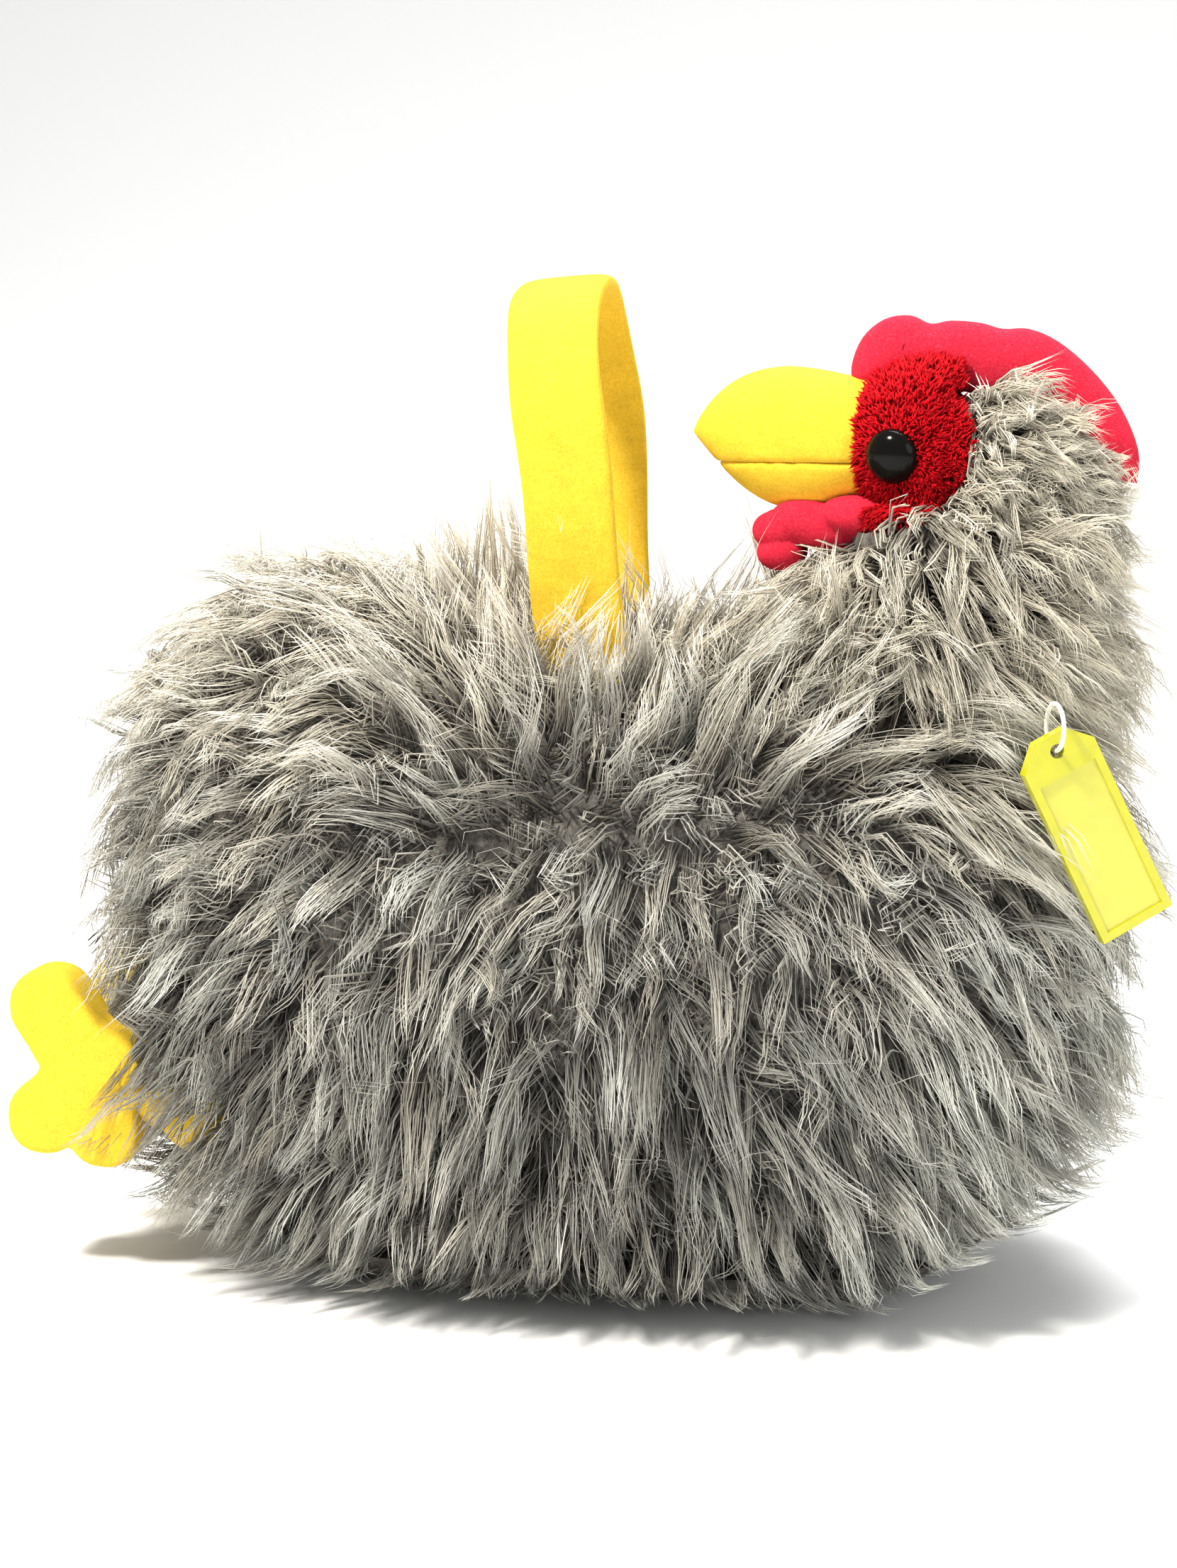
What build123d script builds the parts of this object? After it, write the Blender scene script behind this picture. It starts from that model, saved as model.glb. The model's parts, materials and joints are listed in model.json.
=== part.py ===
"""Plush hen with a carrying handle: long-pile body, turned-back head, trailing feet and a key tag.

Millimetres, +Z up, +X from the tail to the breast. The origin is the middle of the footprint, on the
surface that the hen rests on. The head looks back over the body, so its beak points along -X.
The pile counts as part of each cloth panel, up to where it stands dense.
"""

from build123d import *
import math
import os

os.makedirs("parts", exist_ok=True)

# ---- Driving dimensions -------------------------------------------------------------------------
# Places are laid out from the carrying handle, and the finished pieces are moved back by this much,
# which puts the origin under the middle of the whole.
MIDDLE_X = 3.0
BODY_REAR = (-141.0, 122.0)      # rearmost point of the dense pile: x, z
BODY_FRONT = (157.0, 112.0)      # foremost point: x, z
BODY_HALF_LENGTH = 150.0
# x, lowest z, highest z, half width of the dense pile
BODY_SECTIONS = [
    (-128.0, 58.0, 178.0, 42.0),
    (-104.0, 18.0, 196.0, 66.0),
    (-65.0, -6.0, 201.0, 85.0),
    (-15.0, -9.0, 190.0, 93.0),
    (40.0, -9.0, 184.0, 94.0),
    (88.0, -3.0, 184.0, 88.0),
    (126.0, 24.0, 178.0, 68.0),
    (148.0, 62.0, 160.0, 39.0),
]
PILE = 15.0                      # dense depth of the long pile, backing cloth included
BASE_DEPTH = 12.0                # the base panel, with its pile crushed by the weight
GAP = 0.6                        # clearance between pieces that move apart

NECK_X = 103.0                   # the neck turns about an upright axis here
NECK_SEAM_Z = 176.0
NECK_RADIUS = 45.0
NECK_RIM_Z = 202.0
NECK_FRONT = (75.0, 186.0)       # in front of this x the neck ends at this height, under the wattles
NECK_CORE_RADIUS = 30.0
NOD_PIVOT = (106.0, 0.0, 231.0)  # the head nods about a cross axis here
BALL_RADIUS = 45.0
BALL_TOP_Z = 216.0

SKULL_CENTRE = (114.0, 0.0, 226.0)
SKULL_SEMI = (33.0, 23.0, 27.0)
FACE_CENTRE = (96.0, 0.0, 234.0)
FACE_SEMI = (22.0, 19.0, 20.0)
CROWN_CENTRE = (114.0, 0.0, 222.0)
CROWN_SEMI = (38.0, 33.0, 33.0)
FACE_BACK_X = 99.0               # the long pile of the head starts behind this
PATCH_THICKNESS = 2.5
PATCH_LOW_Z = 213.0

BEAK_TIP = (30.4, 236.0)
# x, lowest z, highest z, half width
BEAK_SECTIONS = [
    (40.0, 225.5, 248.5, 8.5),
    (52.0, 217.0, 253.5, 11.5),
    (66.0, 215.5, 253.0, 13.0),
    (84.0, 219.0, 250.0, 12.0),
]
MOUTH_Z = 228.5
FLEECE = 2.0                     # fleece cloth, pressed at a seam

EYE_DIAMETER = 15.0
EYE_DOME = 5.0
EYE_AT = (88.0, 231.0)           # x, z
EYE_STEM = (2.2, 15.0)           # radius, length
WASHER = (8.0, 2.0, 8.0)         # radius, thickness, depth under the dome

COMB_HALF = 5.0
WATTLE_CENTRE = (59.0, 6.0, 208.0)
WATTLE_SEMI = (11.0, 4.2, 9.5)

STRAP_WIDTH = 25.0
STRAP_LAYERS = (1.8, 1.4, 1.8)   # outer fleece, webbing core, inner fleece
ARCH_RADIUS = 34.0               # of the strap's middle
ARCH_FLARE = 10.0                # degrees that each leg opens upwards
HANDLE_HINGE = (4.0, 0.0, 176.0)
HANDLE_LEG = 61.5
HANDLE_LEAN = -5.0               # degrees, towards the tail
HANDLE_RANGE = (-40.0, 25.0)
ANCHOR = (24.0, 2.0, 24.0)

HIP_RIGHT = (-104.0, -34.0, 46.0)
HIP_LEFT = (-97.0, 38.0, 56.0)
LEFT_LEG_DROP = 25.0             # degrees that the left leg hangs lower
HIP_RADIUS = 11.0
LEG_RADIUS = 8.0
FOOT_OFFSET = (-29.0, -2.0, 10.0)
FOOT_THICKNESS = 16.0
TOE_RADIUS = 10.5
# direction in degrees from +X towards +Z, length from the middle of the foot to the toe's round end
TOES = [(122.0, 24.0), (219.0, 18.0), (283.0, 15.0)]
PALM_RADIUS = 15.0
LEG_RANGE = (-8.0, 20.0)

# Where the stuffing stays back from the strap's ends and the hips: limits in x, y and z
STUFFING_NOTCHES = [
    ((-24.0, 32.0), (12.0, 34.0), (155.0, 300.0)),
    ((-24.0, 32.0), (-34.0, -12.0), (155.0, 300.0)),
    ((-200.0, -90.0), (-50.0, -18.0), (28.0, 66.0)),
    ((-200.0, -82.0), (20.0, 56.0), (34.0, 76.0)),
]

TAG_TURN = 24.0                  # degrees that the tag's face is turned from -Y towards +X
TAG_TILT = 27.0                  # degrees that the tag's foot is swung out at rest
TAG_HOLE = (133.5, -66.0, 158.0)
TAG_SIZE = (21.0, 56.0, 3.6)     # width, length, thickness
TAG_HOLE_RADIUS = 1.9
TAG_HOLE_EDGE = 4.5              # from the hole's centre to the top of the tag
TAG_CHAMFER = 6.0
TAG_RIM = 2.2
TAG_FLOOR = 1.2
TAG_HEAD = 11.0                  # solid part of the case above the insert's window
TAG_RANGE = (-22.0, 27.0)
LOOP_RADIUS = 6.0
LOOP_WIRE = 0.6


# ---- Shared shapes ------------------------------------------------------------------------------
def section(x, low, high, half):
    """An upright ellipse across the X axis."""
    plane = Plane(origin=(x, 0, (low + high) / 2), x_dir=(0, 1, 0), z_dir=(1, 0, 0))
    return plane * Ellipse(half, (high - low) / 2)


def ellipsoid(centre, semi, grow=0.0):
    return Pos(*centre) * scale(Sphere(1), by=tuple(s + grow for s in semi))


def slab(x=(-400, 400), y=(-400, 400), z=(-400, 400)):
    """A box given by its limits."""
    size = [b - a for a, b in (x, y, z)]
    middle = [(a + b) / 2 for a, b in (x, y, z)]
    return Pos(*middle) * Box(*size)


def upright(x, radius, low, high):
    return Pos(x, 0, (low + high) / 2) * Cylinder(radius, high - low)


def turned(shape, pivot, degrees):
    """The shape turned about the Y direction through the pivot, +Z towards +X."""
    return Pos(*pivot) * Rot(0, degrees, 0) * Pos(*[-c for c in pivot]) * shape


def body_form(inset):
    """The body's outline with its surface moved in by the inset."""
    squeeze = 1 - inset / BODY_HALF_LENGTH
    ends = [Vertex(x * squeeze, 0, z) for x, z in (BODY_REAR, BODY_FRONT)]
    rings = [
        section(x * squeeze, low + inset, high - inset, half - inset)
        for x, low, high, half in BODY_SECTIONS
    ]
    form = loft([ends[0], *rings, ends[1]])
    return form


# ---- Torso --------------------------------------------------------------------------------------
def torso_outer():
    stump = upright(NECK_X, NECK_RADIUS, 130, NECK_SEAM_Z)
    neck_room = upright(NECK_X, NECK_RADIUS + GAP, NECK_SEAM_Z, 300)
    return ((body_form(0) + stump) & slab(z=(0, 400))) - neck_room


def torso_core():
    stump = upright(NECK_X, NECK_CORE_RADIUS, 120, NECK_SEAM_Z)
    return (body_form(PILE) + stump) & slab(z=(BASE_DEPTH, 400))


# ---- Handle -------------------------------------------------------------------------------------
def arch_points(offset, leg):
    """One side of the strap's arch in the YZ plane, from the foot of the leg to the top."""
    flare = math.radians(ARCH_FLARE)
    middle_z = HANDLE_HINGE[2] + HANDLE_LEG * math.cos(flare) + ARCH_RADIUS * math.sin(flare)
    radius = ARCH_RADIUS + offset
    knee = (radius * math.cos(flare), middle_z - radius * math.sin(flare))
    foot = (knee[0] - leg * math.sin(flare), knee[1] - leg * math.cos(flare))
    return foot, knee, (0, middle_z + radius)


def arch_band(inner, outer, leg):
    """The flat outline between two offsets of the arch, closed across the feet of the legs."""
    def side(offset):
        foot, knee, top = arch_points(offset, leg)
        return foot, knee, top, (-knee[0], knee[1]), (-foot[0], foot[1])

    out, ins = side(outer), side(inner)
    edges = [
        Line(out[0], out[1]),
        ThreePointArc(out[1], out[2], out[3]),
        Line(out[3], out[4]),
        Line(out[4], ins[4]),
        Line(ins[4], ins[3]),
        ThreePointArc(ins[3], ins[2], ins[1]),
        Line(ins[1], ins[0]),
        Line(ins[0], out[0]),
    ]
    plane = Plane(origin=(HANDLE_HINGE[0], 0, 0), x_dir=(0, 1, 0), z_dir=(1, 0, 0))
    return plane * make_face(edges)


def strap_outline(grow=0.0):
    """The strap seen along Y: parallel edges, and a round end about the hinge."""
    half = STRAP_WIDTH / 2 + grow
    plane = Plane(origin=HANDLE_HINGE, x_dir=(1, 0, 0), z_dir=(0, -1, 0))
    return plane * (Pos(0, 70) * Rectangle(2 * half, 140) + Circle(half))


def strap_layer(inner, outer):
    leg = HANDLE_LEG + STRAP_WIDTH / 2 + 1
    band = extrude(arch_band(inner, outer, leg), STRAP_WIDTH / 2, both=True)
    return turned(band & extrude(strap_outline(), 60, both=True), HANDLE_HINGE, HANDLE_LEAN)


def handle_slots():
    """Room in the pile and stuffing for the strap's ends over the whole fold."""
    foot = arch_points(0, HANDLE_LEG + STRAP_WIDTH / 2)[0]
    near, far = foot[0] - 4.0, arch_points(0, HANDLE_LEG)[0][0] + 7.5
    steps = [HANDLE_LEAN + HANDLE_RANGE[0] - 1 + 12 * i for i in range(7)]
    fan = Sketch() + [strap_outline(GAP + 0.4).rotate(Axis(HANDLE_HINGE, (0, 1, 0)), a) for a in steps]
    room = extrude(fan, 60, both=True)
    return [room & slab(y=limits) for limits in ((near, far), (-far, -near))]


def make_handle():
    bounds = [sum(STRAP_LAYERS) / 2]
    for thickness in STRAP_LAYERS:
        bounds.append(bounds[-1] - thickness)
    names = ("handle_outer", "handle_core", "handle_lining")
    return {name: strap_layer(bounds[i + 1], bounds[i]) for i, name in enumerate(names)}


def make_anchors():
    foot = arch_points(0, HANDLE_LEG + STRAP_WIDTH / 2)[0]
    y = foot[0] - 4.0 - ANCHOR[1] / 2
    anchors = {}
    for name, side in (("handle_anchor_left", 1), ("handle_anchor_right", -1)):
        anchors[name] = Pos(HANDLE_HINGE[0], side * y, HANDLE_HINGE[2] - 8) * Box(*ANCHOR)
    return anchors


# ---- Neck and head ------------------------------------------------------------------------------
def make_neck():
    """A dish that the head's ball sits in: the turn is at its flat foot, the nod in its hollow."""
    core = upright(NECK_X, NECK_CORE_RADIUS, NECK_SEAM_Z + GAP, NECK_RIM_Z)
    panel = upright(NECK_X, NECK_RADIUS, NECK_SEAM_Z + GAP, NECK_RIM_Z) - core
    rooms = [
        Pos(*NOD_PIVOT) * Sphere(BALL_RADIUS + GAP),
        slab(x=(0, NECK_FRONT[0]), z=(NECK_FRONT[1], 300)),
    ]
    return {"neck_panel": panel - rooms, "neck_stuffing": core - rooms}


def make_beak(skull):
    def form(inset):
        rings = [section(x + inset, lo + inset, hi - inset, w - inset) for x, lo, hi, w in BEAK_SECTIONS]
        return loft([Vertex(BEAK_TIP[0] + inset, 0, BEAK_TIP[1]), *rings])

    whole = form(0) - skull
    filling = (form(FLEECE) & slab(x=(0, BEAK_SECTIONS[-1][0]))) - skull
    skin = whole - filling
    return {
        "beak_upper": skin & slab(z=(MOUTH_Z, 400)),
        "beak_lower": skin & slab(z=(0, MOUTH_Z)),
        "beak_stuffing": filling,
    }, whole


def eye_plane(side):
    """On the side of the face, facing out."""
    x, z = EYE_AT
    reach = 1 - ((x - FACE_CENTRE[0]) / FACE_SEMI[0]) ** 2 - ((z - FACE_CENTRE[2]) / FACE_SEMI[2]) ** 2
    point = Vector(x, side * FACE_SEMI[1] * math.sqrt(reach), z)
    away = point - Vector(*FACE_CENTRE)
    normal = Vector(*[a / s**2 for a, s in zip((away.X, away.Y, away.Z), FACE_SEMI)])
    return Plane(origin=point, x_dir=(1, 0, 0), z_dir=normal.normalized())


def make_eye(side):
    plane = eye_plane(side)
    radius = EYE_DIAMETER / 2
    dome = Pos(0, 0, PATCH_THICKNESS) * scale(Sphere(1), by=(radius, radius, EYE_DOME)) & slab(
        z=(PATCH_THICKNESS, 50)
    )
    stem = Pos(0, 0, PATCH_THICKNESS - EYE_STEM[1] / 2) * Cylinder(*EYE_STEM)
    washer = Cylinder(WASHER[0], WASHER[1]) - Cylinder(EYE_STEM[0], WASHER[1])
    return plane * (dome + stem), plane * Pos(0, 0, PATCH_THICKNESS - WASHER[2]) * washer


def comb_blank():
    """A low crest from the beak over the crown to the nape, with a lobe in front."""
    crest = Spline(
        (74, 246), (77, 261), (85, 268), (94, 265), (106, 265), (121, 260.5), (136, 249), (146, 234), (148, 226)
    )
    under = Line((148, 226), (112, 222))
    front = Line((112, 222), (74, 246))
    plane = Plane(origin=(0, 0, 0), x_dir=(1, 0, 0), z_dir=(0, -1, 0))
    return extrude(plane * make_face([crest, under, front]), COMB_HALF, both=True)


def skull_form(grow):
    return ellipsoid(SKULL_CENTRE, SKULL_SEMI, grow) + ellipsoid(FACE_CENTRE, FACE_SEMI, grow)


def make_head():
    stem = Pos(*NOD_PIVOT) * Sphere(BALL_RADIUS) & slab(z=(0, BALL_TOP_Z))
    skull = skull_form(0)
    core = skull + (stem & upright(NOD_PIVOT[0], NECK_CORE_RADIUS, 150, BALL_TOP_Z))
    beak, beak_whole = make_beak(skull)
    crown = ellipsoid(CROWN_CENTRE, CROWN_SEMI) & slab(x=(FACE_BACK_X, 200), z=(BALL_TOP_Z, 400))
    fur = stem + crown
    fur = fur - core - beak_whole
    patch = skull_form(PATCH_THICKNESS) - core - beak_whole
    patch = (patch & slab(x=(0, FACE_BACK_X + 8), z=(PATCH_LOW_Z, 400))) - fur
    pieces = dict(beak)
    halves = {"left": slab(y=(-200, 0)), "right": slab(y=(0, 200))}
    solid_head = core + fur + patch
    pieces["comb"] = comb_blank() - solid_head - beak_whole
    for name, side in (("left", -1), ("right", 1)):
        eye, washer = make_eye(side)
        pieces[f"eye_{name}"], pieces[f"eye_washer_{name}"] = eye, washer
        core = core - eye - washer
        pieces[f"head_panel_{name}"] = fur & halves[name]
        pieces[f"face_patch_{name}"] = (patch & halves[name]) - eye
        centre = (WATTLE_CENTRE[0], side * WATTLE_CENTRE[1], WATTLE_CENTRE[2])
        lobe = ellipsoid(centre, WATTLE_SEMI) - beak_whole - solid_head
        pieces[f"wattle_{name}"] = lobe
    pieces["head_stuffing"] = core
    return pieces


# ---- Legs ---------------------------------------------------------------------------------------
def foot_outline(grow):
    outline = Sketch() + Circle(PALM_RADIUS)
    for degrees, length in TOES:
        tip = (length * math.cos(math.radians(degrees)), length * math.sin(math.radians(degrees)))
        outline += SlotCenterToCenter(length, 2 * TOE_RADIUS).moved(
            Location((tip[0] / 2, tip[1] / 2), degrees)
        )
    return offset(outline, grow) if grow else outline


def foot_block(middle, grow):
    plane = Plane(origin=middle, x_dir=(1, 0, 0), z_dir=(0, -1, 0))
    return extrude(plane * foot_outline(grow), FOOT_THICKNESS / 2 + grow, both=True)


def leg_blank(hip, middle, grow=0.0):
    """The hip's ball and the leg's tube, without the foot."""
    start, end = Vector(*hip), Vector(*middle)
    run = end - start
    tube = Plane(origin=start + run * 0.5, z_dir=run) * Cylinder(LEG_RADIUS + grow, run.length)
    return tube + Pos(*hip) * Sphere(HIP_RADIUS + grow)


def make_leg(name, hip, side, drop):
    middle = (hip[0] + FOOT_OFFSET[0], hip[1] + side * abs(FOOT_OFFSET[1]), hip[2] + FOOT_OFFSET[2])
    outer, filling = foot_block(middle, 0), foot_block(middle, -FLEECE)
    skin = outer - filling
    pieces = {
        f"leg_{name}": leg_blank(hip, middle) - outer,
        f"foot_{name}_outer": skin & slab(y=sorted((middle[1], side * 400))),
        f"foot_{name}_sole": skin & slab(y=sorted((middle[1], -side * 400))),
        f"foot_{name}_stuffing": filling,
    }
    room = foot_block(middle, GAP) + leg_blank(hip, middle, GAP)
    steps = [LEG_RANGE[0] + (LEG_RANGE[1] - LEG_RANGE[0]) * i / 4 for i in range(5)]
    swept = Part() + [turned(room, hip, a - drop) for a in steps]
    return {key: turned(piece, hip, -drop) for key, piece in pieces.items()}, swept


# ---- Tag ----------------------------------------------------------------------------------------
def tag_place(tilt):
    """At the tag's hole: local x across the tag, y up it, z out of its face."""
    turn = math.radians(TAG_TURN)
    face = Plane(
        origin=TAG_HOLE,
        x_dir=(math.cos(turn), math.sin(turn), 0),
        z_dir=(math.sin(turn), -math.cos(turn), 0),
    )
    return face.location * Rot(0, 0, tilt)


def tag_outline(inset):
    width, length, _ = TAG_SIZE
    left, top = -width / 2 + inset, TAG_HOLE_EDGE - inset
    low, cut = TAG_HOLE_EDGE - length + inset, TAG_CHAMFER - inset * 0.6
    return make_face(
        Polyline(
            (left, low), (-left, low), (-left, top - cut), (-left - cut, top), (left + cut, top),
            (left, top - cut), close=True,
        )
    )


def make_tag():
    place = tag_place(TAG_TILT)
    thickness = TAG_SIZE[2]
    low = TAG_HOLE_EDGE - TAG_SIZE[1] + TAG_RIM
    high = TAG_HOLE_EDGE - TAG_HEAD
    well = Pos(0, (low + high) / 2, TAG_FLOOR + thickness / 2) * Box(
        TAG_SIZE[0] - 2 * TAG_RIM, high - low, thickness
    )
    blank = extrude(tag_outline(0), thickness)
    hole = Cylinder(TAG_HOLE_RADIUS, 20)
    insert = Pos(0, (low + high) / 2, TAG_FLOOR + 0.2) * Box(TAG_SIZE[0] - 2 * TAG_RIM, high - low, 0.4)
    window = Pos(0, (low + high) / 2, TAG_FLOOR + 0.4 + 0.6) * Box(
        TAG_SIZE[0] - 2 * TAG_RIM, high - low, 1.2
    )
    centred = Pos(0, 0, -thickness / 2)
    pieces = {"tag_case": blank - well - hole, "tag_insert": insert, "tag_window": window}
    return {name: place * centred * piece for name, piece in pieces.items()}


def make_loop():
    """A nylon loop through the tag's hole, square to the tag's face, sewn into the pile behind it."""
    return tag_place(0) * Pos(0, LOOP_RADIUS, 0) * Rot(0, 90, 0) * Torus(LOOP_RADIUS, LOOP_WIRE)


# ---- The whole hen ------------------------------------------------------------------------------
def make_torso(rooms):
    anchors = make_anchors()
    loop = make_loop()
    core = torso_core()
    shell = torso_outer() - core - [*rooms, *anchors.values(), loop]
    for notch in STUFFING_NOTCHES:
        core = core - slab(*notch)
    base = shell & slab(z=(0, BASE_DEPTH))
    upper = shell & slab(z=(BASE_DEPTH, 400))
    pieces = {
        "side_panel_left": upper & slab(y=(0, 200)),
        "side_panel_right": upper & slab(y=(-200, 0)),
        "base_panel": base,
        "body_stuffing": core,
        "tag_loop": loop,
    }
    return {**pieces, **anchors}


def build():
    right_leg, right_room = make_leg("right", HIP_RIGHT, -1, 0.0)
    left_leg, left_room = make_leg("left", HIP_LEFT, 1, LEFT_LEG_DROP)
    rooms = [*handle_slots(), right_room, left_room]
    return {
        **make_torso(rooms),
        **make_neck(),
        **make_head(),
        **make_handle(),
        **right_leg,
        **left_leg,
        **make_tag(),
    }


if __name__ == "__main__":
    low, high = [1e9] * 3, [-1e9] * 3
    for node, laid_out in build().items():
        shape = Pos(-MIDDLE_X, 0, 0) * laid_out
        export_step(shape, f"parts/{node}.step")
        box = shape.bounding_box()
        low = [min(a, b) for a, b in zip(low, (box.min.X, box.min.Y, box.min.Z))]
        high = [max(a, b) for a, b in zip(high, (box.max.X, box.max.Y, box.max.Z))]
    print("box", [round(v, 2) for v in low], [round(v, 2) for v in high])
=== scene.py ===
"""Looks of the plush hen with a carrying handle: long curled pile, fleece strap, beak, comb and feet.

Metres, in the row frame: +X from the tail to the breast, +Z up. The near side is -Y.
"""

import json
import math

import bmesh
import bpy
import numpy as np
from mathutils import Matrix, Vector
from mathutils.bvhtree import BVHTree
from mathutils.kdtree import KDTree


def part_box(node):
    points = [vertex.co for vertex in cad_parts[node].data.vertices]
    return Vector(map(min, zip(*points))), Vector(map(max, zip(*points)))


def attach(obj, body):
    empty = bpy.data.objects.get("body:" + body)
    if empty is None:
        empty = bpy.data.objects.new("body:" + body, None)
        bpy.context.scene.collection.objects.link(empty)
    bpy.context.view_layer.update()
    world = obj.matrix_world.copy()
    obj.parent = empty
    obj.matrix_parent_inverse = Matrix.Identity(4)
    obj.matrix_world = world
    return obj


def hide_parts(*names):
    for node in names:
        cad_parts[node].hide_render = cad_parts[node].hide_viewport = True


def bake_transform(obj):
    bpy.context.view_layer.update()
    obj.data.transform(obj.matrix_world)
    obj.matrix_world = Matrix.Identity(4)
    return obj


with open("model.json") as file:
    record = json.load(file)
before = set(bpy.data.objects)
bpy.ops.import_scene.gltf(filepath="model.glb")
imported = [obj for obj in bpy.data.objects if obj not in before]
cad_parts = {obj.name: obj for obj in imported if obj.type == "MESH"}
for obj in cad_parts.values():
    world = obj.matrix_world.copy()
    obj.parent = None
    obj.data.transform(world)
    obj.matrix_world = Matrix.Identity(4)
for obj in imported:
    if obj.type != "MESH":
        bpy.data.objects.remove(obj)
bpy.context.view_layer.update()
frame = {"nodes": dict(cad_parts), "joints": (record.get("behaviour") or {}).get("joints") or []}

MM = 0.001
SEED = 11
JOINTS = {joint["name"]: Vector(joint["pos_m"]) for joint in frame["joints"]}
NECK_AXIS = JOINTS["neck_turn"]
NECK_LOW = NECK_AXIS.z           # the neck leaves the shoulders
NECK_HIGH = NECK_LOW + 20 * MM   # the neck starts to follow the head
HEAD_LOW = NECK_HIGH + 20 * MM   # the head's own pile starts

# ---- Camera and studio --------------------------------------------------------------------------
VIEW_AZIMUTH = math.radians(10)
VIEW_ELEVATION = math.radians(8)
VIEW_DISTANCE = 0.95
VIEW_CENTRE = Vector((-0.002, 0, 0.137))
VIEW_HEIGHT = 0.4424             # metres of upright frame at the centre

# ---- The pile -----------------------------------------------------------------------------------
LOCK_STRANDS = {"body": 31000, "neck": 6400, "head": 4300}
WOOL_STRANDS = {"body": 13000, "neck": 2700, "head": 1700}
GUARD_HAIRS = {"body": 2400, "neck": 450, "head": 300}
FACE_PLUSH_STRANDS = 5200        # on each side of the face
REACH = (0.177, 0.108, 0.286)    # farthest that the pile goes from the middle in X and Y, and from the floor
REACH_EASE = 14 * MM             # strands slow down over this much before they get there
TONES = 16                       # columns of the strand's tone map
CASTS = 4                        # rows: from cool to warm


def unit(v):
    return v / np.maximum(np.linalg.norm(v, axis=-1, keepdims=True), 1e-9)


def smoothstep(low, high, value):
    t = np.clip((value - low) / (high - low), 0, 1)
    return t * t * (3 - 2 * t)


# ---- Meshes -------------------------------------------------------------------------------------
def add_object(name, mesh, material):
    mesh.name = name
    obj = bpy.data.objects.new(name, mesh)
    bpy.context.scene.collection.objects.link(obj)
    mesh.materials.clear()
    mesh.materials.append(material)
    return obj


def mesh_of(verts, quads, tris, uv=None):
    """A smooth mesh from arrays of corners; uv holds one pair for each face corner."""
    mesh = bpy.data.meshes.new("made")
    corners = np.concatenate([np.ravel(quads), np.ravel(tris)]).astype(np.int32)
    starts = np.concatenate([np.arange(len(quads)) * 4, 4 * len(quads) + np.arange(len(tris)) * 3])
    mesh.vertices.add(len(verts))
    mesh.vertices.foreach_set("co", np.ravel(verts).astype(np.float32))
    mesh.loops.add(len(corners))
    mesh.loops.foreach_set("vertex_index", corners)
    mesh.polygons.add(len(starts))
    mesh.polygons.foreach_set("loop_start", starts.astype(np.int32))
    mesh.update(calc_edges=True)
    mesh.polygons.foreach_set("use_smooth", np.ones(len(starts), bool))
    if uv is not None:
        layer = mesh.uv_layers.new(name="OFBake")
        layer.data.foreach_set("uv", np.ravel(uv).astype(np.float32))
    mesh.validate()
    return mesh


def blob(centre, semi, tilt=0.0, steps=20):
    """Corners and faces of an ellipsoid in mm, tilted about Y by degrees."""
    c, s = math.cos(math.radians(tilt)), math.sin(math.radians(tilt))
    verts = []
    for i in range(steps + 1):
        a = math.pi * i / steps
        for j in range(steps):
            b = math.tau * j / steps
            x = semi[0] * math.cos(a)
            y = semi[1] * math.sin(a) * math.cos(b)
            z = semi[2] * math.sin(a) * math.sin(b)
            point = (centre[0] + x * c + z * s, centre[1] + y, centre[2] - x * s + z * c)
            verts.append(tuple(p * MM for p in point))
    faces = [
        (i * steps + j, i * steps + (j + 1) % steps, (i + 1) * steps + (j + 1) % steps, (i + 1) * steps + j)
        for i in range(steps)
        for j in range(steps)
    ]
    return verts, faces


def fused(nodes, voxel, smoothing, grow=0.0, blobs=()):
    """One closed skin round copies of CAD nodes and blobs."""
    verts, faces = [], []
    for more, sides in blobs:
        shift = len(verts)
        verts += more
        faces += [tuple(i + shift for i in side) for side in sides]
    for node in nodes:
        mesh = frame["nodes"][node].data
        shift = len(verts)
        verts += [tuple(v.co) for v in mesh.vertices]
        faces += [tuple(i + shift for i in p.vertices) for p in mesh.polygons]
    mesh = bpy.data.meshes.new("fused")
    mesh.from_pydata(verts, [], faces)
    obj = bpy.data.objects.new("fused", mesh)
    bpy.context.scene.collection.objects.link(obj)
    remesh = obj.modifiers.new("remesh", "REMESH")
    remesh.mode, remesh.voxel_size = "VOXEL", voxel
    if grow:
        swell = obj.modifiers.new("swell", "DISPLACE")
        swell.strength, swell.mid_level = grow, 0.0
    if smoothing:
        soften = obj.modifiers.new("soften", "SMOOTH")
        soften.factor, soften.iterations = 0.5, smoothing
    result = evaluated(obj)
    bpy.data.objects.remove(obj)
    result.polygons.foreach_set("use_smooth", np.ones(len(result.polygons), bool))
    return result


def evaluated(obj):
    bpy.context.view_layer.update()
    graph = bpy.context.evaluated_depsgraph_get()
    return bpy.data.meshes.new_from_object(obj.evaluated_get(graph))


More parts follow.
